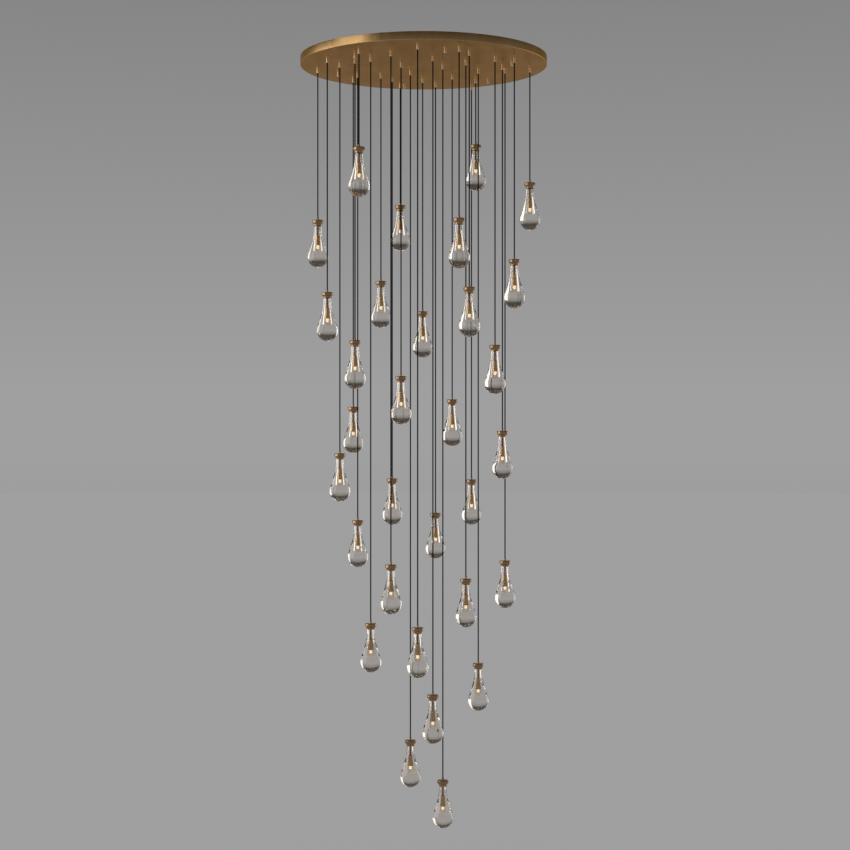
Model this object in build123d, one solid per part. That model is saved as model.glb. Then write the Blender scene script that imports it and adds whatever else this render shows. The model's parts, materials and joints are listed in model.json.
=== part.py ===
from build123d import *
import os
from math import acos, atan2, cos, degrees, hypot, sin

# A round ceiling canopy with thirty-one glass drops on cords of many lengths.
# Millimetres, +Z up. The origin is on the ceiling, above the middle of the canopy.
# X runs to the viewer's right and Y away from the viewer.

# Canopy pan
CANOPY_R = 500.0
CANOPY_H = 32.0
PLATE_T = 3.0
PLATE_EDGE_ROUND = 2.0
RIM_T = 2.0
RIM_RETURN = 14.0
HANG_MARGIN = 45.0

# Hanging plan: the place of each grip as a share of the hanging radius (x, y),
# and the free length of its cord between the grip and the drop, in cord steps.
CORD_STEP = 10.0
HANG_PLAN = [
    (-0.55, -0.74, 35),
    (0.48, 0.54, 25),
    (0.95, 0.04, 44),
    (-0.95, 0.08, 59),
    (-0.22, 0.79, 49),
    (0.30, -0.83, 63),
    (0.79, -0.38, 77),
    (-0.84, -0.37, 90),
    (-0.39, 0.33, 83),
    (0.39, -0.67, 89),
    (-0.01, 0.53, 95),
    (-0.60, -0.34, 109),
    (0.62, -0.42, 111),
    (-0.20, -0.17, 123),
    (0.26, 0.37, 132),
    (-0.65, 0.52, 135),
    (0.70, -0.06, 145),
    (-0.74, -0.17, 154),
    (-0.29, 0.48, 165),
    (0.45, 0.89, 166),
    (0.11, 0.74, 180),
    (-0.60, 0.29, 182),
    (-0.28, -0.65, 197),
    (0.37, -0.27, 204),
    (0.73, 0.09, 198),
    (-0.46, -0.42, 221),
    (-0.05, -0.92, 220),
    (0.49, 0.10, 240),
    (0.08, -0.45, 249),
    (-0.12, 0.18, 272),
    (0.17, -0.09, 286),
]

# Cords and the grips that hold them
CORD_D = 5.0
CORD_BORE_CLEARANCE = 0.25
SWING_GAP = 0.35
GRIP_D = 10.0
GRIP_L = 21.0
GRIP_EDGE_BREAK = 1.2
GRIP_SHANK_D = 8.0
GRIP_SHANK_PROUD = 1.3
HOLE_CLEARANCE = 0.2
GRIP_WASHER_D = 13.0
WASHER_T = 1.2
GRIP_NUT_AF = 11.0
NUT_H = 5.0
CORD_STOP_D = 8.0
CORD_STOP_H = 7.0
TAIL_PROUD = 4.0
CONNECTOR_D = 7.5
CONNECTOR_ROOF = 2.0
CONNECTOR_EDGE_BREAK = 1.0

# Ceiling bracket: a six-armed star with a stud at the end of each arm
BRACKET_T = 4.0
HUB_R = 85.0
ARM_COUNT = 6
ARM_W = 36.0
STUD_RING_SHARE = 0.81
STUD_TURN = 43.0
STUD_D = 6.0
STUD_REACH = 15.0
STUD_WASHER_D = 12.0
STUD_NUT_AF = 10.0
CEILING_BOLT_RING_R = 250.0
CEILING_BOLT_HOLE_D = 9.0
CANOPY_NUT_D = 10.0
CANOPY_NUT_L = 21.0
CANOPY_NUT_FLOOR = 4.0
CABLE_HOLE_D = 32.0
GROMMET_BORE_D = 18.0
GROMMET_LIP = 3.0
GROMMET_LIP_T = 2.0

# Lamp drivers on the upper face of the plate: place as a share of the hanging radius, and turn
DRIVER_PLACES = [(0.76, 0.34, 10.0), (-0.46, 0.04, 180.0), (-0.09, -0.57, 300.0)]
DRIVER_L = 150.0
DRIVER_W = 46.0
DRIVER_H = 19.0
DRIVER_CORNER_R = 4.0
DRIVER_EDGE_BREAK = 1.0
DRIVER_EAR_L = 12.0
DRIVER_EAR_T = 2.5
SCREW_D = 4.0
SCREW_HEAD_D = 8.0
SCREW_HEAD_H = 3.0
SCREW_HEAD_ROUND = 1.8
TERMINAL_GAP = 8.0
TERMINAL_POLES = 6
TERMINAL_PITCH = 10.0
TERMINAL_W = 20.0
TERMINAL_CORNER_R = 2.0
TERMINAL_BASE_H = 7.0
TERMINAL_POST_H = 7.0
TERMINAL_POST_W = 7.0
TERMINAL_SCREW_D = 4.5
TERMINAL_SCREW_H = 5.0
EARTH_STUD_RING_R = 62.0
EARTH_STUD_D = 6.0
EARTH_STUD_L = 16.0
EARTH_NUT_AF = 10.0

# Drop: depths are measured down from the top of the stem
STEM_D = 9.0
STEM_H = 10.0
STEM_ROUND = 1.2
CORD_SOCKET_DEPTH = 7.0
SPIGOT_D = 4.0
SPIGOT_ENGAGE = 4.0
CAP_R = 22.6
CAP_H = 13.0
CAP_ROOF_T = 4.0
CAP_TOP_ROUND = 3.0
CAP_LOWER_ROUND = 2.0
CAP_WALL = 2.8
COLLAR_R = 20.8
COLLAR_H = 11.0
COLLAR_WALL = 1.3
COLLAR_FOOT_H = 2.0
COLLAR_SPIGOT_H = 5.6
FIT_CLEARANCE = 0.2
GASKET_T = 2.0
LIP_H = 4.0
LIP_R = 17.4
NECK_R = 14.5
NECK_BELOW_COLLAR = 0.5
NECK_FLARE_R = 218.0
BASE_R = 42.0
GLASS_BELOW_COLLAR = 170.0
BASE_SOLID_H = 57.0
CAVITY_TOP_R = 6.0
CAVITY_LOW_R = 15.5
CAVITY_CORNER_R = 8.0
CAVITY_FLOOR_RISE = 3.0
ROD_D = 6.0
ROD_L = 63.0
HOLDER_CLEARANCE = 2.5
HOLDER_L = 45.0
HOLDER_EDGE_BREAK = 1.0
HOLDER_ROD_SOCKET = 5.0
HOLDER_LAMP_SOCKET = 5.0
LAMP_D = 11.0
LAMP_PROUD = 15.5
LAMP_TIP_FLAT_D = 0.6

# Places worked out from the sizes above
HANG_R = CANOPY_R - HANG_MARGIN
STUD_RING_R = STUD_RING_SHARE * HANG_R
PLATE_BOTTOM_Z = -CANOPY_H
PLATE_TOP_Z = PLATE_BOTTOM_Z + PLATE_T
GRIP_MOUTH_Z = PLATE_BOTTOM_Z - GRIP_L
CORD_R = CORD_D / 2
CORD_BORE_R = CORD_R + CORD_BORE_CLEARANCE
GRIP_HOLE_R = GRIP_SHANK_D / 2 + HOLE_CLEARANCE
STUD_HOLE_R = STUD_D / 2 + HOLE_CLEARANCE
NUT_BOTTOM_Z = PLATE_TOP_Z + WASHER_T
NUT_TOP_Z = NUT_BOTTOM_Z + NUT_H
SHANK_TOP_Z = NUT_TOP_Z + GRIP_SHANK_PROUD
STOP_TOP_Z = SHANK_TOP_Z + CORD_STOP_H
TAIL_TOP_Z = STOP_TOP_Z + TAIL_PROUD

CAP_TOP = STEM_H
ROOF_UNDER = CAP_TOP + CAP_ROOF_T
CAP_BOTTOM = CAP_TOP + CAP_H
LIP_TOP = ROOF_UNDER + GASKET_T
LIP_BOTTOM = LIP_TOP + LIP_H
COLLAR_BOTTOM = CAP_BOTTOM + COLLAR_H
NECK_BOTTOM = COLLAR_BOTTOM + NECK_BELOW_COLLAR
DROP_BOTTOM = COLLAR_BOTTOM + GLASS_BELOW_COLLAR
BASE_CENTRE = DROP_BOTTOM - BASE_R
CAVITY_FLOOR = DROP_BOTTOM - BASE_SOLID_H
ROD_BOTTOM = ROOF_UNDER + ROD_L
HOLDER_TOP = ROD_BOTTOM - HOLDER_ROD_SOCKET
HOLDER_BOTTOM = HOLDER_TOP + HOLDER_L
LAMP_TOP = HOLDER_BOTTOM - HOLDER_LAMP_SOCKET


def turned(profile):
    """Turn a closed profile of (radius, height) edges about the Z axis."""
    return revolve(Plane.XZ * make_face(profile), Axis.Z)


def ring(outer_r, inner_r, bottom, top):
    """A plain ring, or a round bar where the inner radius is zero."""
    section = Circle(outer_r)
    if inner_r > 0:
        section -= Circle(inner_r)
    return Pos(0, 0, bottom) * extrude(section, top - bottom)


def hex_nut(across_flats, bore_r, bottom, top):
    """A hexagon nut with its two faces square to Z."""
    outline = RegularPolygon(across_flats / 2, 6, major_radius=False) - Circle(bore_r)
    return Pos(0, 0, bottom) * extrude(outline, top - bottom)


def grip_places():
    """The middle of each grip on the plate."""
    return [(HANG_R * x, HANG_R * y) for x, y, cord_steps in HANG_PLAN]


def stud_places():
    """The middle of each bracket stud."""
    return [tuple(place.position)[:2] for place in PolarLocations(STUD_RING_R, ARM_COUNT, STUD_TURN)]


def copies(solid, places):
    """One separate copy of a solid at each place of the plan."""
    return [Pos(x, y, 0) * solid for x, y in places]


# Canopy

def canopy_plate():
    plate = ring(CANOPY_R, 0, PLATE_BOTTOM_Z, PLATE_TOP_Z)
    plate = fillet(plate.edges().sort_by(Axis.Z)[0], PLATE_EDGE_ROUND)
    holes = copies(ring(GRIP_HOLE_R, 0, PLATE_BOTTOM_Z, PLATE_TOP_Z), grip_places())
    holes += copies(ring(STUD_HOLE_R, 0, PLATE_BOTTOM_Z, PLATE_TOP_Z), stud_places())
    return plate - holes


def canopy_rim():
    outline = Polyline(
        (CANOPY_R, PLATE_TOP_Z),
        (CANOPY_R, 0),
        (CANOPY_R - RIM_RETURN, 0),
        (CANOPY_R - RIM_RETURN, -RIM_T),
        (CANOPY_R - RIM_T, -RIM_T),
        (CANOPY_R - RIM_T, PLATE_TOP_Z),
        close=True,
    )
    return turned(outline)


def ceiling_bracket():
    star = Circle(HUB_R)
    arm = Pos(STUD_RING_R / 2, 0) * Rectangle(STUD_RING_R, ARM_W) + Pos(STUD_RING_R, 0) * Circle(ARM_W / 2)
    for turn in range(ARM_COUNT):
        star += Rot(0, 0, STUD_TURN + 360 / ARM_COUNT * turn) * arm
    star -= Circle(CABLE_HOLE_D / 2)
    star -= PolarLocations(CEILING_BOLT_RING_R, ARM_COUNT, STUD_TURN) * Circle(CEILING_BOLT_HOLE_D / 2)
    return Pos(0, 0, -BRACKET_T) * extrude(star, BRACKET_T)


def bracket_studs():
    return copies(ring(STUD_D / 2, 0, PLATE_BOTTOM_Z - STUD_REACH, -BRACKET_T), stud_places())


def stud_washers():
    return copies(ring(STUD_WASHER_D / 2, STUD_HOLE_R, PLATE_TOP_Z, NUT_BOTTOM_Z), stud_places())


def stud_nuts():
    return copies(hex_nut(STUD_NUT_AF, STUD_D / 2, NUT_BOTTOM_Z, NUT_TOP_Z), stud_places())


def canopy_nuts():
    bottom = PLATE_BOTTOM_Z - CANOPY_NUT_L
    nut = ring(CANOPY_NUT_D / 2, 0, bottom, PLATE_BOTTOM_Z)
    nut = chamfer(nut.edges().sort_by(Axis.Z)[0], GRIP_EDGE_BREAK)
    nut -= ring(STUD_D / 2, 0, bottom + CANOPY_NUT_FLOOR, PLATE_BOTTOM_Z)
    return copies(nut, stud_places())


def cord_grips():
    body = ring(GRIP_D / 2, 0, GRIP_MOUTH_Z, PLATE_BOTTOM_Z)
    body = chamfer(body.edges().sort_by(Axis.Z)[0], GRIP_EDGE_BREAK)
    body += ring(GRIP_SHANK_D / 2, 0, PLATE_BOTTOM_Z, SHANK_TOP_Z)
    body -= ring(CORD_BORE_R, 0, GRIP_MOUTH_Z, SHANK_TOP_Z)
    return copies(body, grip_places())


def grip_washers():
    return copies(ring(GRIP_WASHER_D / 2, GRIP_HOLE_R, PLATE_TOP_Z, NUT_BOTTOM_Z), grip_places())


def grip_nuts():
    return copies(hex_nut(GRIP_NUT_AF, GRIP_SHANK_D / 2, NUT_BOTTOM_Z, NUT_TOP_Z), grip_places())


def cord_tails():
    return copies(ring(CORD_R, 0, GRIP_MOUTH_Z, TAIL_TOP_Z), grip_places())


def cord_stops():
    return copies(ring(CORD_STOP_D / 2, CORD_R, SHANK_TOP_Z, STOP_TOP_Z), grip_places())


def lead_connectors():
    cap = ring(CONNECTOR_D / 2, 0, STOP_TOP_Z, TAIL_TOP_Z + CONNECTOR_ROOF)
    cap = chamfer(cap.edges().sort_by(Axis.Z)[-1], CONNECTOR_EDGE_BREAK)
    cap -= ring(CORD_R, 0, STOP_TOP_Z, TAIL_TOP_Z)
    return copies(cap, grip_places())


# Electrical gear inside the pan

def on_plate(solid, x, y, turn):
    """Set a solid that is modelled on z = 0 on the upper face of the plate."""
    return Pos(HANG_R * x, HANG_R * y, PLATE_TOP_Z) * Rot(0, 0, turn) * solid


def driver_hole_places():
    reach = DRIVER_L / 2 + DRIVER_EAR_L / 2
    return [(-reach, 0), (reach, 0)]


def led_driver(x, y, turn):
    case = extrude(RectangleRounded(DRIVER_L, DRIVER_W, DRIVER_CORNER_R), DRIVER_H)
    case = chamfer(case.faces().sort_by(Axis.Z)[-1].edges(), DRIVER_EDGE_BREAK)
    ears = RectangleRounded(DRIVER_L + 2 * DRIVER_EAR_L, DRIVER_W / 2, DRIVER_CORNER_R)
    case += extrude(ears, DRIVER_EAR_T)
    for place in driver_hole_places():
        case -= Pos(*place) * ring(SCREW_D / 2, 0, 0, DRIVER_EAR_T)
    return on_plate(case, x, y, turn)


def driver_screws():
    screw = ring(SCREW_D / 2, 0, 0, DRIVER_EAR_T)
    head = ring(SCREW_HEAD_D / 2, 0, DRIVER_EAR_T, DRIVER_EAR_T + SCREW_HEAD_H)
    screw += fillet(head.edges().sort_by(Axis.Z)[-1], SCREW_HEAD_ROUND)
    return [
        on_plate(Pos(*place) * screw, x, y, turn)
        for x, y, turn in DRIVER_PLACES
        for place in driver_hole_places()
    ]


def terminal_offset():
    """Distance of a terminal strip's middle from the middle of its driver."""
    return DRIVER_L / 2 + DRIVER_EAR_L + TERMINAL_GAP + TERMINAL_W / 2


def terminal_poles():
    return GridLocations(0, TERMINAL_PITCH, 1, TERMINAL_POLES)


def terminal_strips():
    footprint = RectangleRounded(TERMINAL_W, TERMINAL_PITCH * TERMINAL_POLES, TERMINAL_CORNER_R)
    strip = extrude(footprint, TERMINAL_BASE_H)
    post = extrude(Rectangle(TERMINAL_POST_W, TERMINAL_POST_W), TERMINAL_POST_H)
    for pole in terminal_poles():
        strip += Pos(0, 0, TERMINAL_BASE_H) * pole * post
    height = TERMINAL_BASE_H + TERMINAL_POST_H
    for pole in terminal_poles():
        strip -= pole * ring(TERMINAL_SCREW_D / 2, 0, TERMINAL_BASE_H, height)
    placed = Pos(-terminal_offset(), 0, 0) * strip
    return [on_plate(placed, x, y, turn) for x, y, turn in DRIVER_PLACES]


def terminal_screws():
    screw = ring(TERMINAL_SCREW_D / 2, 0, TERMINAL_BASE_H, TERMINAL_BASE_H + TERMINAL_SCREW_H)
    return [
        on_plate(Pos(-terminal_offset(), 0, 0) * pole * screw, x, y, turn)
        for x, y, turn in DRIVER_PLACES
        for pole in terminal_poles()
    ]


def supply_grommet():
    hole_r = CABLE_HOLE_D / 2
    body = ring(hole_r, 0, -BRACKET_T, 0)
    body += ring(hole_r + GROMMET_LIP, 0, -BRACKET_T - GROMMET_LIP_T, -BRACKET_T)
    body -= ring(GROMMET_BORE_D / 2, 0, -BRACKET_T - GROMMET_LIP_T, 0)
    return body


def earth_place():
    """The earth stud stands between two arms of the bracket."""
    return PolarLocations(EARTH_STUD_RING_R, 1, STUD_TURN + 180 / ARM_COUNT)


def earth_stud():
    return earth_place() * ring(EARTH_STUD_D / 2, 0, -BRACKET_T - EARTH_STUD_L, -BRACKET_T)


def earth_nut():
    return earth_place() * hex_nut(EARTH_NUT_AF, EARTH_STUD_D / 2, -BRACKET_T - NUT_H, -BRACKET_T)


# One drop, with the top of its stem at z = 0

def stem():
    body = ring(STEM_D / 2, 0, -CAP_TOP, 0)
    body = fillet(body.edges().sort_by(Axis.Z)[-1], STEM_ROUND)
    body += ring(SPIGOT_D / 2, 0, -ROOF_UNDER - SPIGOT_ENGAGE, -CAP_TOP)
    return body - ring(CORD_R, 0, -CORD_SOCKET_DEPTH, 0)


def cap():
    body = ring(CAP_R, 0, -CAP_BOTTOM, -CAP_TOP)
    body = fillet(body.edges().sort_by(Axis.Z)[-1], CAP_TOP_ROUND)
    body = fillet(body.edges().sort_by(Axis.Z)[0], CAP_LOWER_ROUND)
    body -= ring(CAP_R - CAP_WALL, 0, -CAP_BOTTOM, -ROOF_UNDER)
    return body - ring(SPIGOT_D / 2, 0, -ROOF_UNDER, -CAP_TOP)


def collar():
    spigot_r = CAP_R - CAP_WALL - FIT_CLEARANCE
    spigot_top = -CAP_BOTTOM + COLLAR_SPIGOT_H
    bore_r = NECK_R + FIT_CLEARANCE
    foot_r = bore_r + COLLAR_WALL
    foot_top = -COLLAR_BOTTOM + COLLAR_FOOT_H
    shoulder = Line((spigot_r, -CAP_BOTTOM), (COLLAR_R, -CAP_BOTTOM))
    flare = TangentArc((foot_r, foot_top), (COLLAR_R, -CAP_BOTTOM), tangent=(0, 1))
    seat_r = LIP_R + FIT_CLEARANCE
    rest = Polyline(
        (foot_r, foot_top),
        (foot_r, -COLLAR_BOTTOM),
        (bore_r, -COLLAR_BOTTOM),
        (bore_r, -LIP_BOTTOM),
        (seat_r, -LIP_BOTTOM),
        (seat_r, spigot_top),
        (spigot_r, spigot_top),
        (spigot_r, -CAP_BOTTOM),
    )
    return turned([shoulder, flare, rest])


def gasket():
    return ring(LIP_R, CAVITY_TOP_R, -LIP_TOP, -ROOF_UNDER)


def glass_drop():
    """A heavy drop: slim neck, straight flank, round solid base and a narrow hollow that ends above it."""
    flare_centre = (NECK_R + NECK_FLARE_R, -NECK_BOTTOM)
    base_centre = (0, -BASE_CENTRE)
    rise = flare_centre[1] - base_centre[1]
    span = hypot(flare_centre[0], rise)
    flank = atan2(rise, flare_centre[0]) - acos((BASE_R + NECK_FLARE_R) / span)
    flank_deg = degrees(flank)
    flank_top = (
        flare_centre[0] - NECK_FLARE_R * cos(flank),
        flare_centre[1] - NECK_FLARE_R * sin(flank),
    )
    flank_bottom = (BASE_R * cos(flank), base_centre[1] + BASE_R * sin(flank))
    hollow_top = (CAVITY_TOP_R, -LIP_TOP)
    floor_middle = (0, -CAVITY_FLOOR + CAVITY_FLOOR_RISE)
    floor_corner = (CAVITY_LOW_R, -CAVITY_FLOOR)
    outline = [
        Polyline(hollow_top, (LIP_R, -LIP_TOP), (LIP_R, -LIP_BOTTOM), (NECK_R, -LIP_BOTTOM)),
        Line((NECK_R, -LIP_BOTTOM), (NECK_R, -NECK_BOTTOM)),
        CenterArc(flare_centre, NECK_FLARE_R, 180, flank_deg),
        Line(flank_top, flank_bottom),
        CenterArc(base_centre, BASE_R, flank_deg, -90 - flank_deg),
        Line((0, -DROP_BOTTOM), floor_middle),
        TangentArc(floor_middle, floor_corner, tangent=(1, 0)),
        Line(floor_corner, hollow_top),
    ]
    section = make_face(outline)
    corner = section.vertices().sort_by_distance(Vector(*floor_corner))[0]
    section = fillet(corner, CAVITY_CORNER_R)
    return revolve(Plane.XZ * section, Axis.Z)


def lamp_rod():
    body = ring(ROD_D / 2, 0, -ROD_BOTTOM, -ROOF_UNDER)
    return body - ring(SPIGOT_D / 2, 0, -ROOF_UNDER - SPIGOT_ENGAGE, -ROOF_UNDER)


def hollow_r(depth):
    """Radius of the hollow in the glass, which widens evenly from the lip to the floor."""
    share = (depth - LIP_TOP) / (CAVITY_FLOOR - LIP_TOP)
    return CAVITY_TOP_R + share * (CAVITY_LOW_R - CAVITY_TOP_R)


def lamp_holder():
    """A tapered holder that follows the wall of the hollow."""
    top_r = hollow_r(HOLDER_TOP) - HOLDER_CLEARANCE
    low_r = hollow_r(HOLDER_BOTTOM) - HOLDER_CLEARANCE
    middle = (HOLDER_TOP + HOLDER_BOTTOM) / 2
    body = Pos(0, 0, -middle) * Cone(low_r, top_r, HOLDER_L)
    body = chamfer(body.edges().filter_by(GeomType.CIRCLE), HOLDER_EDGE_BREAK)
    body -= ring(ROD_D / 2, 0, -ROD_BOTTOM, -HOLDER_TOP)
    return body - ring(LAMP_D / 2, 0, -HOLDER_BOTTOM, -LAMP_TOP)


def led_lamp():
    tip = HOLDER_BOTTOM + LAMP_PROUD
    body = ring(LAMP_D / 2, 0, -tip, -LAMP_TOP)
    return fillet(body.edges().sort_by(Axis.Z)[0], (LAMP_D - LAMP_TIP_FLAT_D) / 2)


def drop_pieces():
    return {
        "stem": stem(),
        "cap": cap(),
        "collar": collar(),
        "gasket": gasket(),
        "glass_drop": glass_drop(),
        "lamp_rod": lamp_rod(),
        "lamp_holder": lamp_holder(),
        "led_lamp": led_lamp(),
    }


def pendant(pieces, x, y, free_length):
    """A cord with its drop, hanging straight down from its grip."""
    stem_top_z = GRIP_MOUTH_Z - free_length
    cord = ring(CORD_R, 0, stem_top_z - CORD_SOCKET_DEPTH, GRIP_MOUTH_Z - SWING_GAP)
    placed = {"cord": Pos(HANG_R * x, HANG_R * y, 0) * cord}
    for name, solid in pieces.items():
        placed[name] = Pos(HANG_R * x, HANG_R * y, stem_top_z) * solid
    return placed


def write_node(name, solids):
    """Write one node; a node of several solids keeps them apart."""
    if isinstance(solids, dict):
        for label, solid in solids.items():
            solid.label = label
        solids = list(solids.values())
    if isinstance(solids, list):
        solids = Compound(label=name, children=solids)
    export_step(solids, f"parts/{name}.step")


os.makedirs("parts", exist_ok=True)

CANOPY_NODES = {
    "canopy_plate": canopy_plate(),
    "canopy_rim": canopy_rim(),
    "ceiling_bracket": ceiling_bracket(),
    "bracket_studs": bracket_studs(),
    "stud_washers": stud_washers(),
    "stud_nuts": stud_nuts(),
    "canopy_nuts": canopy_nuts(),
    "cord_grips": cord_grips(),
    "grip_washers": grip_washers(),
    "grip_nuts": grip_nuts(),
    "cord_tails": cord_tails(),
    "cord_stops": cord_stops(),
    "lead_connectors": lead_connectors(),
    "driver_screws": driver_screws(),
    "terminal_strips": terminal_strips(),
    "terminal_screws": terminal_screws(),
    "supply_grommet": supply_grommet(),
    "earth_stud": earth_stud(),
    "earth_nut": earth_nut(),
}
for number, place in enumerate(DRIVER_PLACES, start=1):
    CANOPY_NODES[f"led_driver_{number}"] = led_driver(*place)
for name, solids in CANOPY_NODES.items():
    write_node(name, solids)

DROP_PIECES = drop_pieces()
for number, (x, y, cord_steps) in enumerate(HANG_PLAN, start=1):
    write_node(f"pendant_{number:02d}", pendant(DROP_PIECES, x, y, cord_steps * CORD_STEP))
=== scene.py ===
import json
import math

import bmesh
import bpy
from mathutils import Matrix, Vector, noise


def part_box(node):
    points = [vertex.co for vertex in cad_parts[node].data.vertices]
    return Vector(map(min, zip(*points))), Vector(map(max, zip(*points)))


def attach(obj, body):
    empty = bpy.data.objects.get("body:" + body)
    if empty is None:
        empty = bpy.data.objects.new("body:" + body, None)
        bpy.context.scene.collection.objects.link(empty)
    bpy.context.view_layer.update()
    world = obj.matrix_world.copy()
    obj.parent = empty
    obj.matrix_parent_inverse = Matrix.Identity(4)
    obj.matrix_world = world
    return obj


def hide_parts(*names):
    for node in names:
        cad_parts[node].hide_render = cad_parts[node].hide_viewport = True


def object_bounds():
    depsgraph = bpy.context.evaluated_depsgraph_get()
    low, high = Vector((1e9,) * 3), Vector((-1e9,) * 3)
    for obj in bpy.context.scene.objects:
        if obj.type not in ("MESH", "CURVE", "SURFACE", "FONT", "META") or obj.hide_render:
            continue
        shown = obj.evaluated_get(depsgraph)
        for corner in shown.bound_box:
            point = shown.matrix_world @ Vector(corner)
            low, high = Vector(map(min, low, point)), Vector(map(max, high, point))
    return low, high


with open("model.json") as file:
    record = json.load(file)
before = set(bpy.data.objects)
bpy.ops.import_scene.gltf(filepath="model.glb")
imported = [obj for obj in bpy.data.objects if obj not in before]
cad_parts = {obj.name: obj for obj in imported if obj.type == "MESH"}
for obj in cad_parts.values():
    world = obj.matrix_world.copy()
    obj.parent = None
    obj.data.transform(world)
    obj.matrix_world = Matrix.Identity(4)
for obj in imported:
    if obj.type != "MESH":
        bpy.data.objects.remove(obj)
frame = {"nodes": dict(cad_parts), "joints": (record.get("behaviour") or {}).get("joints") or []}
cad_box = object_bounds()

# A chandelier of glass drops under a round brass canopy.
# Metres, +Z up. The origin is on the canopy's axis, at the upper edge of its rim.
# The photograph looks along +Y.

MM = 0.001

# Canopy pan
CANOPY_R = 500 * MM
CANOPY_H = 32 * MM
PLATE_T = 3 * MM
PLATE_EDGE_ROUND = 2 * MM
RIM_T = 2 * MM
RIM_RETURN = 14 * MM
RIM_EDGE_ROUND = 0.6 * MM
PLATE_RING_SHARE = 0.2
CANOPY_SEGMENTS = 288

# Cords
CORD_D = 5 * MM
CORD_SOCKET_DEPTH = 7 * MM
SWING_GAP = 0.35 * MM
CORD_STRAIGHT_LEAD = 6 * CORD_D

# Drop: depths are measured down from the top of the stem
STEM_R = 4.5 * MM
STEM_TOP_ROUND = 1.2 * MM
STEM_FOOT_ROUND = 1.0 * MM
CAP_TOP = 10 * MM
CAP_BOTTOM = 23 * MM
CAP_R = 22.6 * MM
CAP_TOP_ROUND = 3 * MM
CAP_LOWER_ROUND = 2 * MM
COLLAR_R = 20.8 * MM
COLLAR_BOTTOM = 34 * MM
COLLAR_FOOT_R = 16 * MM
COLLAR_FOOT_H = 2 * MM
COLLAR_EDGE = 0.3 * MM
COLLAR_BORE_R = 14.7 * MM
ROOF_UNDER = 14 * MM
LIP_TOP = 16 * MM
LIP_BOTTOM = 20 * MM
LIP_R = 17.4 * MM
LIP_ROUND = 1 * MM
LIP_CLEARANCE = 0.3 * MM
NECK_R = 14.5 * MM
NECK_BOTTOM = 34.5 * MM
NECK_FLARE_R = 218 * MM
BASE_R = 42 * MM
BASE_CENTRE = 162 * MM
DROP_BOTTOM = BASE_CENTRE + BASE_R
CAVITY_TOP_R = 6 * MM
CAVITY_LOW_R = 15.5 * MM
CAVITY_FLOOR = 147 * MM
CAVITY_CORNER_R = 8 * MM
CAVITY_CORNER_END = -80
CAVITY_FLOOR_RISE = 3 * MM
CAVITY_FLOOR_STEPS = 8
ROD_R = 3 * MM
HOLDER_CLEARANCE = 2.5 * MM
HOLDER_TOP = 72 * MM
HOLDER_BOTTOM = 117 * MM
HOLDER_EDGE = 1 * MM
LAMP_R = 5.5 * MM
LAMP_TOP = 112 * MM
LAMP_BOTTOM = 132.5 * MM
DROP_SEGMENTS = 96
FITTING_SEGMENTS = 64
GLASS_VARIANTS = 4
BLOWN_WAVE = 0.08 * MM
BLOWN_WAVE_SIZE = 26 * MM
BLOWN_WAVE_FADE = 20 * MM
VARIANT_SHIFT = 3.7
DROP_TURN = 2.4
AXIS_R = 0.1 * MM
SHARP_ANGLE = math.radians(34)

# Camera at the photograph's viewing angle
CAMERA_LENS = 74.742
CAMERA_PLACE = (0.0053, -7.168, -1.4893)
SENSOR_WIDTH = 36
VIEW_REACH = 200

# Stage
FLOOR_DROP = 0.9
FLOOR_R = 60.0
FLOOR_INNER_R = 6.0
FLOOR_SEGMENTS = 96
FLOOR_GREY = (0.62, 0.62, 0.62)
FLOOR_FADE_START = 1.0
FLOOR_FADE_END = 3.6
HORIZON_COLOUR = (0.35, 0.35, 0.353)
UPPER_COLOUR = (0.24, 0.24, 0.243)
ZENITH_COLOUR = (0.055, 0.045, 0.036)
HORIZON_SINE = 0.02
UPPER_SINE = 0.23
ZENITH_SINE = 0.38
WORLD_FILL = 0.36
FILL_COLOUR = (1.0, 0.99, 0.98)
PANEL_LEFT = (1.0, 0.97, 0.93)
PANEL_RIGHT = (1.0, 0.97, 0.94)
PANEL_TOP = (1.0, 0.98, 0.95)

# Finishes
GLASS_TINT = (0.945, 0.885, 0.815)
GLASS_IOR = 1.5
GLASS_WAVES = (25, 25, 60)
GLASS_WAVE_DEPTH = 2 * MM
PATINA_WAVES = 7
CORD_DARK = (0.002, 0.002, 0.002)
CORD_LIGHT = (0.008, 0.008, 0.009)
CORD_THREADS = 8
CORD_TURN = 14 * MM
GLOW_WARM = (1.0, 0.72, 0.42)
GLOW_PALE = (1.0, 0.84, 0.62)


def node_material(name):
    material = bpy.data.materials.new(name)
    material.use_nodes = True
    tree = material.node_tree
    return material, tree, tree.nodes["Principled BSDF"]


def add_node(tree, kind, **settings):
    node = tree.nodes.new(kind)
    for key, value in settings.items():
        setattr(node, key, value)
    return node


def stretched_noise(tree, stretch, detail=4.0, roughness=0.55):
    """A noise whose grain has the given number of waves per metre along X, Y and Z."""
    coordinates = add_node(tree, "ShaderNodeTexCoord")
    mapping = add_node(tree, "ShaderNodeMapping")
    mapping.inputs["Scale"].default_value = stretch
    grain = add_node(tree, "ShaderNodeTexNoise")
    grain.inputs["Scale"].default_value = 1.0
    grain.inputs["Detail"].default_value = detail
    grain.inputs["Roughness"].default_value = roughness
    tree.links.new(coordinates.outputs["Object"], mapping.inputs["Vector"])
    tree.links.new(mapping.outputs["Vector"], grain.inputs["Vector"])
    return grain.outputs["Fac"]


def ranged(tree, value, low, high, start=0.3, end=0.7):
    """Turns the values from start to end into values from low to high."""
    spread = add_node(tree, "ShaderNodeMapRange")
    spread.inputs["From Min"].default_value = start
    spread.inputs["From Max"].default_value = end
    spread.inputs["To Min"].default_value = low
    spread.inputs["To Max"].default_value = high
    tree.links.new(value, spread.inputs["Value"])
    return spread.outputs["Result"]


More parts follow.
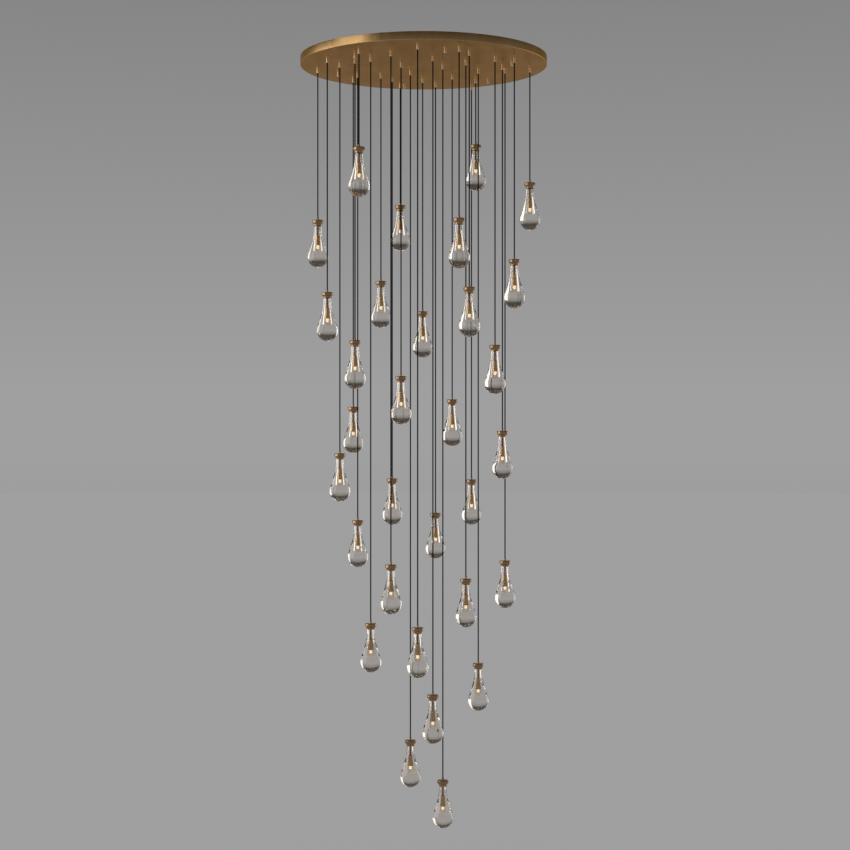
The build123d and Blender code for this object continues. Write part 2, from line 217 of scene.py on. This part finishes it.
def colour_mix(tree, value, first, second):
    mix = add_node(tree, "ShaderNodeMix", data_type="RGBA")
    mix.inputs["A"].default_value = (*first, 1)
    mix.inputs["B"].default_value = (*second, 1)
    tree.links.new(value, mix.inputs["Factor"])
    return mix.outputs["Result"]


def add_bump(tree, shader, height, strength, distance):
    bump = add_node(tree, "ShaderNodeBump")
    bump.inputs["Strength"].default_value = strength
    bump.inputs["Distance"].default_value = distance
    tree.links.new(height, bump.inputs["Height"])
    tree.links.new(bump.outputs["Normal"], shader.inputs["Normal"])


def brass(name, dark, light, edge, grain, roughness, bump_depth):
    """Aged brass: patina clouds in the colour, brush lines along one direction in the gloss."""
    material, tree, shader = node_material(name)
    shader.inputs["Metallic"].default_value = 1.0
    shader.inputs["Specular Tint"].default_value = (*edge, 1)
    patina = ranged(tree, stretched_noise(tree, (PATINA_WAVES,) * 3, detail=5), 0, 1)
    tree.links.new(colour_mix(tree, patina, dark, light), shader.inputs["Base Color"])
    lines = stretched_noise(tree, grain, detail=3)
    tree.links.new(ranged(tree, lines, *roughness), shader.inputs["Roughness"])
    add_bump(tree, shader, lines, strength=0.5, distance=bump_depth)
    return material


def speckled(name, dark, light, waves, roughness, metallic=0.0):
    """A moulded or plated surface with a fine uneven colour and gloss."""
    material, tree, shader = node_material(name)
    shader.inputs["Metallic"].default_value = metallic
    cloud = stretched_noise(tree, (waves, waves, waves), detail=6)
    colour = colour_mix(tree, ranged(tree, cloud, 0, 1), dark, light)
    tree.links.new(colour, shader.inputs["Base Color"])
    tree.links.new(ranged(tree, cloud, *roughness), shader.inputs["Roughness"])
    add_bump(tree, shader, cloud, strength=0.3, distance=0.2 * MM)
    return material


def braided_cord():
    """Black braid: two sets of threads that wind round the cord in opposite directions."""
    material, tree, shader = node_material("black_braid")
    coordinates = add_node(tree, "ShaderNodeTexCoord")
    split = add_node(tree, "ShaderNodeSeparateXYZ")
    tree.links.new(coordinates.outputs["Object"], split.inputs["Vector"])
    angle = add_node(tree, "ShaderNodeMath", operation="ARCTAN2")
    tree.links.new(split.outputs["Y"], angle.inputs[0])
    tree.links.new(split.outputs["X"], angle.inputs[1])
    waves = []
    for hand in (1, -1):
        climb = add_node(tree, "ShaderNodeMath", operation="MULTIPLY_ADD")
        climb.inputs[1].default_value = hand * 2 * math.pi / CORD_TURN
        tree.links.new(split.outputs["Z"], climb.inputs[0])
        tree.links.new(angle.outputs["Value"], climb.inputs[2])
        phase = add_node(tree, "ShaderNodeMath", operation="MULTIPLY")
        phase.inputs[1].default_value = CORD_THREADS
        tree.links.new(climb.outputs["Value"], phase.inputs[0])
        wave = add_node(tree, "ShaderNodeMath", operation="SINE")
        tree.links.new(phase.outputs["Value"], wave.inputs[0])
        waves.append(wave.outputs["Value"])
    weave = add_node(tree, "ShaderNodeMath", operation="MULTIPLY")
    tree.links.new(waves[0], weave.inputs[0])
    tree.links.new(waves[1], weave.inputs[1])
    thread = ranged(tree, weave.outputs["Value"], 0, 1, start=-1, end=1)
    tree.links.new(colour_mix(tree, thread, CORD_DARK, CORD_LIGHT), shader.inputs["Base Color"])
    tree.links.new(ranged(tree, thread, 0.85, 0.6, start=0, end=1), shader.inputs["Roughness"])
    shader.inputs["Specular IOR Level"].default_value = 0.08
    add_bump(tree, shader, thread, strength=0.6, distance=0.3 * MM)
    return material


def clear_glass():
    """Clear blown glass with a faint warm tint and slow waves in its surface."""
    material, tree, shader = node_material("clear_glass_drop")
    shader.inputs["Base Color"].default_value = (*GLASS_TINT, 1)
    shader.inputs["Transmission Weight"].default_value = 1.0
    shader.inputs["Roughness"].default_value = 0.0
    shader.inputs["IOR"].default_value = GLASS_IOR
    waves = stretched_noise(tree, GLASS_WAVES, detail=1)
    add_bump(tree, shader, waves, strength=0.5, distance=GLASS_WAVE_DEPTH)
    return material


def lit_lamp():
    """A frosted lamp tip with an uneven warm glow."""
    material, tree, shader = node_material("warm_lamp")
    frost = ranged(tree, stretched_noise(tree, (260, 260, 260)), 0, 1)
    glow = colour_mix(tree, frost, GLOW_WARM, GLOW_PALE)
    tree.links.new(glow, shader.inputs["Emission Color"])
    tree.links.new(glow, shader.inputs["Base Color"])
    shader.inputs["Emission Strength"].default_value = 1.0
    shader.inputs["Roughness"].default_value = 0.4
    return material


WARM_EDGE = (0.82, 0.62, 0.42)
PALE_EDGE = (0.98, 0.92, 0.84)
PLATE_BRASS = brass("plate_brass", (0.41, 0.25, 0.115), (0.50, 0.315, 0.155), WARM_EDGE,
                    (9, 420, 9), (0.34, 0.44), 0.01 * MM)
RIM_BRASS = brass("rim_brass", (0.38, 0.235, 0.10), (0.48, 0.305, 0.14), WARM_EDGE,
                  (40, 40, 3), (0.24, 0.34), 0.004 * MM)
# Stem, cap and collar: a darker brass tone that is partly painted shade, so their reflection of the
# pale grey surroundings reads dark.
FITTING_BRASS_WITH_PAINTED_SHADE = brass("fitting_brass", (0.26, 0.165, 0.088), (0.36, 0.235, 0.13), PALE_EDGE,
                      (30, 30, 1800), (0.10, 0.17), 0.004 * MM)
# Grips and nuts: a paler polished brass tone that is partly painted highlight, much brighter than the
# other brass so they read as lit.
SATIN_BRASS_WITH_PAINTED_SHEEN = brass("satin_brass_with_painted_sheen", (0.80, 0.65, 0.43), (0.88, 0.74, 0.52), PALE_EDGE,
                    (60, 60, 900), (0.30, 0.38), 0.002 * MM)
LAMP_BRASS = brass("lamp_brass", (0.50, 0.36, 0.21), (0.60, 0.45, 0.28), WARM_EDGE,
                   (30, 30, 900), (0.22, 0.34), 0.01 * MM)
DARK_BRONZE = brass("dark_bronze", (0.07, 0.046, 0.027), (0.11, 0.072, 0.042), WARM_EDGE,
                    (30, 30, 900), (0.30, 0.40), 0.002 * MM)
ZINC_STEEL = speckled("zinc_steel_plated", (0.50, 0.51, 0.52), (0.66, 0.67, 0.68),
                      160, (0.28, 0.5), metallic=1.0)
BLACK_PLASTIC = speckled("black_plastic_moulded", (0.018, 0.018, 0.019), (0.035, 0.035, 0.036),
                         700, (0.42, 0.6))
PALE_PLASTIC = speckled("pale_plastic_moulded", (0.70, 0.70, 0.68), (0.80, 0.80, 0.78),
                        600, (0.4, 0.55))
BLACK_RUBBER = speckled("black_rubber_moulded", (0.014, 0.014, 0.014), (0.03, 0.03, 0.03),
                        500, (0.65, 0.85))
CORD_BRAID = braided_cord()
GLASS = clear_glass()
LAMP_GLOW = lit_lamp()


def arc(centre, radius, start, end, steps):
    """Points on an arc in the turning plane, from one angle to another in degrees."""
    points = []
    for step in range(steps + 1):
        angle = math.radians(start + (end - start) * step / steps)
        points.append((centre[0] + radius * math.cos(angle), centre[1] + radius * math.sin(angle)))
    return points


def straight(start, end, steps):
    """Points at even distances on a line, both ends included."""
    points = []
    for step in range(steps + 1):
        share = step / steps
        points.append((start[0] + (end[0] - start[0]) * share, start[1] + (end[1] - start[1]) * share))
    return points


def turned_mesh(name, outlines, segments, materials):
    """Turns each outline of (radius, height) points about Z; each has the index of its material."""
    weld = 0.001 * MM
    bm = bmesh.new()
    turns = [2 * math.pi * step / segments for step in range(segments)]
    for outline, material_index in outlines:
        rings = []
        for radius, height in outline:
            if radius < weld:
                rings.append([bm.verts.new((0, 0, height))])
            else:
                circle = [(radius * math.cos(turn), radius * math.sin(turn), height) for turn in turns]
                rings.append([bm.verts.new(point) for point in circle])
        for upper, lower in zip(rings, rings[1:]):
            for step in range(segments):
                nearby = (step + 1) % segments
                corners = [upper[step % len(upper)], upper[nearby % len(upper)]]
                corners += [lower[nearby % len(lower)], lower[step % len(lower)]]
                corners = list(dict.fromkeys(corners))
                if len(corners) > 2:
                    face = bm.faces.new(corners)
                    face.material_index = material_index
    bmesh.ops.remove_doubles(bm, verts=bm.verts, dist=weld)
    bmesh.ops.recalc_face_normals(bm, faces=bm.faces)
    mesh = bpy.data.meshes.new(name)
    bm.to_mesh(mesh)
    bm.free()
    for material in materials:
        mesh.materials.append(material)
    mesh.shade_smooth()
    mesh.set_sharp_from_angle(angle=SHARP_ANGLE)
    return mesh


def place(name, data, location, body):
    """A new piece that rides on a body; its finish is the material its mesh already holds."""
    piece = bpy.data.objects.new(name, data)
    bpy.context.scene.collection.objects.link(piece)
    piece.location = location
    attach(piece, body)
    return piece


def fitting_mesh():
    """Stem, cap and flared collar in brass, and the gasket under the cap's roof."""
    stem = [(0, 0)]
    stem += arc((STEM_R - STEM_TOP_ROUND, -STEM_TOP_ROUND), STEM_TOP_ROUND, 90, 0, 6)
    stem += arc((STEM_R + STEM_FOOT_ROUND, -CAP_TOP + STEM_FOOT_ROUND), STEM_FOOT_ROUND, 180, 270, 6)
    cap = arc((CAP_R - CAP_TOP_ROUND, -CAP_TOP - CAP_TOP_ROUND), CAP_TOP_ROUND, 90, 0, 10)
    cap += arc((CAP_R - CAP_LOWER_ROUND, -CAP_BOTTOM + CAP_LOWER_ROUND), CAP_LOWER_ROUND, 0, -90, 6)
    collar_top = -CAP_BOTTOM
    foot_top = -COLLAR_BOTTOM + COLLAR_FOOT_H
    run = COLLAR_R - COLLAR_FOOT_R
    fall = collar_top - foot_top
    flare_r = (run * run + fall * fall) / (2 * run)
    turn = math.degrees(math.asin(fall / flare_r))
    collar = arc((COLLAR_FOOT_R + flare_r, foot_top), flare_r, 180 - turn, 180, 14)
    collar += [(COLLAR_FOOT_R, -COLLAR_BOTTOM + COLLAR_EDGE)]
    collar += [(COLLAR_FOOT_R - COLLAR_EDGE, -COLLAR_BOTTOM)]
    collar += [(COLLAR_BORE_R, -COLLAR_BOTTOM), (COLLAR_BORE_R, -LIP_BOTTOM)]
    seat_r = LIP_R + LIP_CLEARANCE
    inside = [(seat_r, -LIP_BOTTOM), (seat_r, -ROOF_UNDER), (0, -ROOF_UNDER)]
    gasket = [(CAVITY_TOP_R, -ROOF_UNDER), (LIP_R, -ROOF_UNDER), (LIP_R, -LIP_TOP)]
    gasket += [(CAVITY_TOP_R, -LIP_TOP), (CAVITY_TOP_R, -ROOF_UNDER)]
    outlines = [(stem + cap + collar + inside, 0), (gasket, 1)]
    return turned_mesh("fitting", outlines, FITTING_SEGMENTS, [FITTING_BRASS_WITH_PAINTED_SHADE, BLACK_RUBBER])


def hollow_r(depth):
    """Radius of the hollow in the glass, which widens evenly from the lip to the floor."""
    share = (depth - LIP_TOP) / (CAVITY_FLOOR - LIP_TOP)
    return CAVITY_TOP_R + share * (CAVITY_LOW_R - CAVITY_TOP_R)


def lamp_mesh():
    """Rod, tapered lamp holder and the lit tip of the lamp."""
    top_r = hollow_r(HOLDER_TOP) - HOLDER_CLEARANCE
    low_r = hollow_r(HOLDER_BOTTOM) - HOLDER_CLEARANCE
    rod = [(0, -ROOF_UNDER), (ROD_R, -ROOF_UNDER), (ROD_R, -HOLDER_TOP)]
    holder = [(ROD_R, -HOLDER_TOP), (top_r - HOLDER_EDGE, -HOLDER_TOP)]
    holder += [(top_r, -HOLDER_TOP - HOLDER_EDGE)]
    holder += [(low_r, -HOLDER_BOTTOM + HOLDER_EDGE), (low_r - HOLDER_EDGE, -HOLDER_BOTTOM)]
    holder += [(LAMP_R, -HOLDER_BOTTOM), (LAMP_R, -LAMP_TOP)]
    lamp = [(LAMP_R, -LAMP_TOP), (LAMP_R, -LAMP_BOTTOM + LAMP_R)]
    lamp += arc((0, -LAMP_BOTTOM + LAMP_R), LAMP_R, -9, -90, 9)
    outlines = [(rod, 0), (holder, 1), (lamp, 2)]
    return turned_mesh("lamp", outlines, FITTING_SEGMENTS, [DARK_BRONZE, LAMP_BRASS, LAMP_GLOW])


def glass_outline():
    """From the bottom of the base up the outside, over the lip and down the inside of the hollow."""
    flare_centre = (NECK_R + NECK_FLARE_R, -NECK_BOTTOM)
    base_centre = (0, -BASE_CENTRE)
    rise = flare_centre[1] - base_centre[1]
    span = math.hypot(flare_centre[0], rise)
    flank = math.atan2(rise, flare_centre[0]) - math.acos((BASE_R + NECK_FLARE_R) / span)
    flank_deg = math.degrees(flank)
    outside = arc(base_centre, BASE_R, -90, flank_deg, 40)
    flare = arc(flare_centre, NECK_FLARE_R, 180 + flank_deg, 180, 20)
    outside += straight(outside[-1], flare[0], 12)[1:-1] + flare
    outside += [(NECK_R, -LIP_BOTTOM), (LIP_R - LIP_ROUND, -LIP_BOTTOM)]
    lip = arc((LIP_R - LIP_ROUND, -LIP_BOTTOM + LIP_ROUND), LIP_ROUND, -90, 0, 4)
    lip += arc((LIP_R - LIP_ROUND, -LIP_TOP - LIP_ROUND), LIP_ROUND, 0, 90, 4)
    slope = math.atan2(CAVITY_LOW_R - CAVITY_TOP_R, CAVITY_FLOOR - LIP_TOP)
    corner_turn = math.degrees(slope)
    corner_z = -CAVITY_FLOOR + CAVITY_CORNER_R
    wall_at_corner = CAVITY_LOW_R - CAVITY_CORNER_R * math.tan(slope)
    corner_x = wall_at_corner - CAVITY_CORNER_R / math.cos(slope)
    corner = arc((corner_x, corner_z), CAVITY_CORNER_R, corner_turn, CAVITY_CORNER_END, 12)
    inside = straight((CAVITY_TOP_R, -LIP_TOP), corner[0], 40)[:-1] + corner
    start = corner[-1]
    floor = []
    for step in range(1, CAVITY_FLOOR_STEPS + 1):
        share = 1 - step / CAVITY_FLOOR_STEPS
        rise_share = 0.5 + 0.5 * math.cos(math.pi * share)
        floor.append((start[0] * share, start[1] + CAVITY_FLOOR_RISE * rise_share))
    return outside + lip + inside + floor


def glass_mesh(variant):
    """A drop with the slight waves of blown glass, different for each variant."""
    mesh = turned_mesh(f"glass_{variant}", [(glass_outline(), 0)], DROP_SEGMENTS, [GLASS])
    shift = Vector((0, 0, VARIANT_SHIFT * variant))
    for vertex in mesh.vertices:
        depth = -vertex.co.z
        radius = vertex.co.xy.length
        if depth > COLLAR_BOTTOM and radius > AXIS_R:
            fade = min(1.0, (depth - COLLAR_BOTTOM) / BLOWN_WAVE_FADE)
            wave = noise.noise(vertex.co / BLOWN_WAVE_SIZE + shift)
            scale = 1 + fade * BLOWN_WAVE * wave / radius
            vertex.co.x *= scale
            vertex.co.y *= scale
    return mesh


def cord_curve(name, length):
    """A straight cord that hangs down from its own origin."""
    curve = bpy.data.curves.new(name, "CURVE")
    curve.dimensions = "3D"
    curve.bevel_depth = CORD_D / 2
    curve.bevel_resolution = 4
    curve.use_fill_caps = True
    curve.resolution_u = 12
    depths = (0, CORD_STRAIGHT_LEAD, length - CORD_STRAIGHT_LEAD, length)
    spline = curve.splines.new("NURBS")
    spline.points.add(len(depths) - 1)
    for point, depth in zip(spline.points, depths):
        point.co = (0, 0, -depth, 1)
    spline.order_u = 3
    spline.use_endpoint_u = True
    curve.materials.append(CORD_BRAID)
    return curve


def build_pendants():
    """Each drop with its cord, brass fitting and lamp, under its own grip."""
    fitting = fitting_mesh()
    lamp = lamp_mesh()
    drops = [glass_mesh(variant) for variant in range(GLASS_VARIANTS)]
    for index, joint in enumerate(frame["joints"]):
        body = joint["child"]
        number = body.split("_")[1]
        x, y, mouth_z = joint["pos_m"]
        stem_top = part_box(body)[0].z + DROP_BOTTOM
        cord_top = mouth_z - SWING_GAP
        length = cord_top - stem_top + CORD_SOCKET_DEPTH
        curve = cord_curve(f"cord_{number}", length)
        cord = place(f"cord_{number}", curve, (x, y, cord_top), body)
        at_stem = (x, y, stem_top)
        pieces = [cord]
        pieces.append(place(f"fitting_{number}", fitting, at_stem, body))
        pieces.append(place(f"lamp_{number}", lamp, at_stem, body))
        glass = place(f"glass_{number}", drops[index % GLASS_VARIANTS], at_stem, body)
        glass.rotation_euler.z = DROP_TURN * index
        pieces.append(glass)
        for piece in pieces:
            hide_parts(body)


def build_canopy():
    """The plate and its rim, with rounded edges that catch the light."""
    bottom = -CANOPY_H
    top = bottom + PLATE_T
    edge = PLATE_EDGE_ROUND
    plate = [(0, bottom)]
    plate += straight((CANOPY_R * PLATE_RING_SHARE, bottom), (CANOPY_R - edge, bottom), 4)
    plate += arc((CANOPY_R - edge, bottom + edge), edge, -90, 0, 4)[1:]
    plate += [(CANOPY_R, top), (0, top)]
    plate_mesh = turned_mesh("plate_disc", [(plate, 0)], CANOPY_SEGMENTS, [PLATE_BRASS])
    plate_piece = place("plate_disc", plate_mesh, (0, 0, 0), "canopy")
    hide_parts("canopy_plate")
    low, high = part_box("canopy_rim")
    rim_r = high.x
    rim = [(rim_r - RIM_T, low.z), (rim_r, low.z), (rim_r, high.z - RIM_EDGE_ROUND)]
    rim += arc((rim_r - RIM_EDGE_ROUND, high.z - RIM_EDGE_ROUND), RIM_EDGE_ROUND, 0, 90, 4)[1:]
    rim += [(rim_r - RIM_RETURN, high.z), (rim_r - RIM_RETURN, high.z - RIM_T)]
    rim += [(rim_r - RIM_T, high.z - RIM_T), (rim_r - RIM_T, low.z)]
    rim_mesh = turned_mesh("rim_band", [(rim, 0)], CANOPY_SEGMENTS, [RIM_BRASS])
    rim_piece = place("rim_band", rim_mesh, (0, 0, 0), "canopy")
    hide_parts("canopy_rim")


def dress_cad_nodes():
    """Gives a finish to every node that keeps its solids."""
    finishes = {
        "cord_grips": SATIN_BRASS_WITH_PAINTED_SHEEN, "canopy_nuts": SATIN_BRASS_WITH_PAINTED_SHEEN,
        "ceiling_bracket": ZINC_STEEL, "bracket_studs": ZINC_STEEL, "stud_washers": ZINC_STEEL,
        "stud_nuts": ZINC_STEEL, "grip_washers": ZINC_STEEL, "grip_nuts": ZINC_STEEL,
        "driver_screws": ZINC_STEEL, "terminal_screws": ZINC_STEEL, "earth_stud": ZINC_STEEL,
        "earth_nut": ZINC_STEEL, "cord_tails": CORD_BRAID, "cord_stops": BLACK_PLASTIC,
        "lead_connectors": PALE_PLASTIC, "terminal_strips": PALE_PLASTIC, "led_driver_1": BLACK_PLASTIC,
        "led_driver_2": BLACK_PLASTIC, "led_driver_3": BLACK_PLASTIC, "supply_grommet": BLACK_RUBBER,
    }
    for node, finish in finishes.items():
        slots = frame["nodes"][node].data.materials
        for index in range(len(slots)):
            slots[index] = finish


def background_colour(tree):
    """Grey that is lightest at the horizon and turns dark and warm overhead."""
    coordinates = add_node(tree, "ShaderNodeTexCoord")
    split = add_node(tree, "ShaderNodeSeparateXYZ")
    tree.links.new(coordinates.outputs["Generated"], split.inputs["Vector"])
    height = add_node(tree, "ShaderNodeMath", operation="ABSOLUTE")
    tree.links.new(split.outputs["Z"], height.inputs[0])
    ramp = add_node(tree, "ShaderNodeValToRGB")
    tree.links.new(height.outputs["Value"], ramp.inputs["Fac"])
    stops = ramp.color_ramp.elements
    stops[0].position, stops[0].color = HORIZON_SINE, (*HORIZON_COLOUR, 1)
    stops[1].position, stops[1].color = ZENITH_SINE, (*ZENITH_COLOUR, 1)
    stops.new(UPPER_SINE).color = (*UPPER_COLOUR, 1)
    return ramp.outputs["Color"]


def build_world():
    """An even fill light; camera, metal and glass see the grey background instead."""
    world = bpy.data.worlds.new("studio")
    bpy.context.scene.world = world
    world.use_nodes = True
    tree = world.node_tree
    seen = tree.nodes["Background"]
    tree.links.new(background_colour(tree), seen.inputs["Color"])
    fill = add_node(tree, "ShaderNodeBackground")
    fill.inputs["Color"].default_value = (*FILL_COLOUR, 1)
    fill.inputs["Strength"].default_value = WORLD_FILL
    path = add_node(tree, "ShaderNodeLightPath")
    direct = add_node(tree, "ShaderNodeMath", operation="MAXIMUM")
    tree.links.new(path.outputs["Is Camera Ray"], direct.inputs[0])
    tree.links.new(path.outputs["Is Glossy Ray"], direct.inputs[1])
    any_seen = add_node(tree, "ShaderNodeMath", operation="MAXIMUM")
    tree.links.new(direct.outputs["Value"], any_seen.inputs[0])
    tree.links.new(path.outputs["Is Transmission Ray"], any_seen.inputs[1])
    mix = add_node(tree, "ShaderNodeMixShader")
    tree.links.new(any_seen.outputs["Value"], mix.inputs["Fac"])
    tree.links.new(fill.outputs["Background"], mix.inputs[1])
    tree.links.new(seen.outputs["Background"], mix.inputs[2])
    tree.links.new(mix.outputs["Shader"], tree.nodes["World Output"].inputs["Surface"])


def build_floor():
    """A pale round floor that turns into the colour of the horizon far from the object."""
    material, tree, shader = node_material("studio_floor")
    shader.inputs["Base Color"].default_value = (*FLOOR_GREY, 1)
    shader.inputs["Roughness"].default_value = 0.9
    far = add_node(tree, "ShaderNodeEmission")
    far.inputs["Color"].default_value = (*HORIZON_COLOUR, 1)
    coordinates = add_node(tree, "ShaderNodeTexCoord")
    reach = add_node(tree, "ShaderNodeVectorMath", operation="LENGTH")
    tree.links.new(coordinates.outputs["Object"], reach.inputs[0])
    fade = ranged(tree, reach.outputs["Value"], 0, 1, start=FLOOR_FADE_START, end=FLOOR_FADE_END)
    mix = add_node(tree, "ShaderNodeMixShader")
    tree.links.new(fade, mix.inputs["Fac"])
    tree.links.new(shader.outputs["BSDF"], mix.inputs[1])
    tree.links.new(far.outputs["Emission"], mix.inputs[2])
    tree.links.new(mix.outputs["Shader"], tree.nodes["Material Output"].inputs["Surface"])
    outline = [(0, 0), (FLOOR_INNER_R, 0), (FLOOR_R, 0)]
    mesh = turned_mesh("floor", [(outline, 0)], FLOOR_SEGMENTS, [material])
    floor = bpy.data.objects.new("floor", mesh)
    bpy.context.scene.collection.objects.link(floor)
    floor.location.z = cad_box[0][2] - FLOOR_DROP


def soft_light(name, location, target, size, watts, colour):
    """A soft panel of the given width and height, aimed at a point and unseen by the camera."""
    light = bpy.data.lights.new(name, "AREA")
    light.shape = "RECTANGLE"
    light.size, light.size_y = size
    light.energy = watts
    light.color = colour
    lamp = bpy.data.objects.new(name, light)
    bpy.context.scene.collection.objects.link(lamp)
    lamp.location = location
    lamp.rotation_euler = (Vector(target) - Vector(location)).to_track_quat("-Z", "Y").to_euler()
    lamp.visible_camera = False


def build_studio():
    """Background, floor, soft panels and the camera."""
    build_world()
    build_floor()
    soft_light("key_left", (-3.9, -1.7, -0.5), target=(0, 0, -0.9), size=(2.3, 4.4), watts=56,
               colour=PANEL_LEFT)
    soft_light("side_left", (-4.1, 0.7, -1.2), target=(0, 0, -1.2), size=(2.2, 4.2), watts=50,
               colour=PANEL_LEFT)
    soft_light("edge_right", (3.11, 2.18, -1.75), target=(0, 0, -1.75), size=(2.4, 3.2), watts=28,
               colour=PANEL_RIGHT)
    soft_light("overhead", (0, 0, 1.9), target=(0, 0, 0), size=(2.4, 2.4), watts=24, colour=PANEL_TOP)
    camera = bpy.data.cameras.new("photo_camera")
    camera.lens = CAMERA_LENS
    camera.sensor_width = SENSOR_WIDTH
    camera.clip_end = VIEW_REACH
    viewer = bpy.data.objects.new("photo_camera", camera)
    bpy.context.scene.collection.objects.link(viewer)
    viewer.location = CAMERA_PLACE
    viewer.rotation_euler = (math.pi / 2, 0, 0)
    bpy.context.scene.camera = viewer
    bpy.context.scene.view_settings.view_transform = "Standard"


build_pendants()
build_canopy()
dress_cad_nodes()
build_studio()
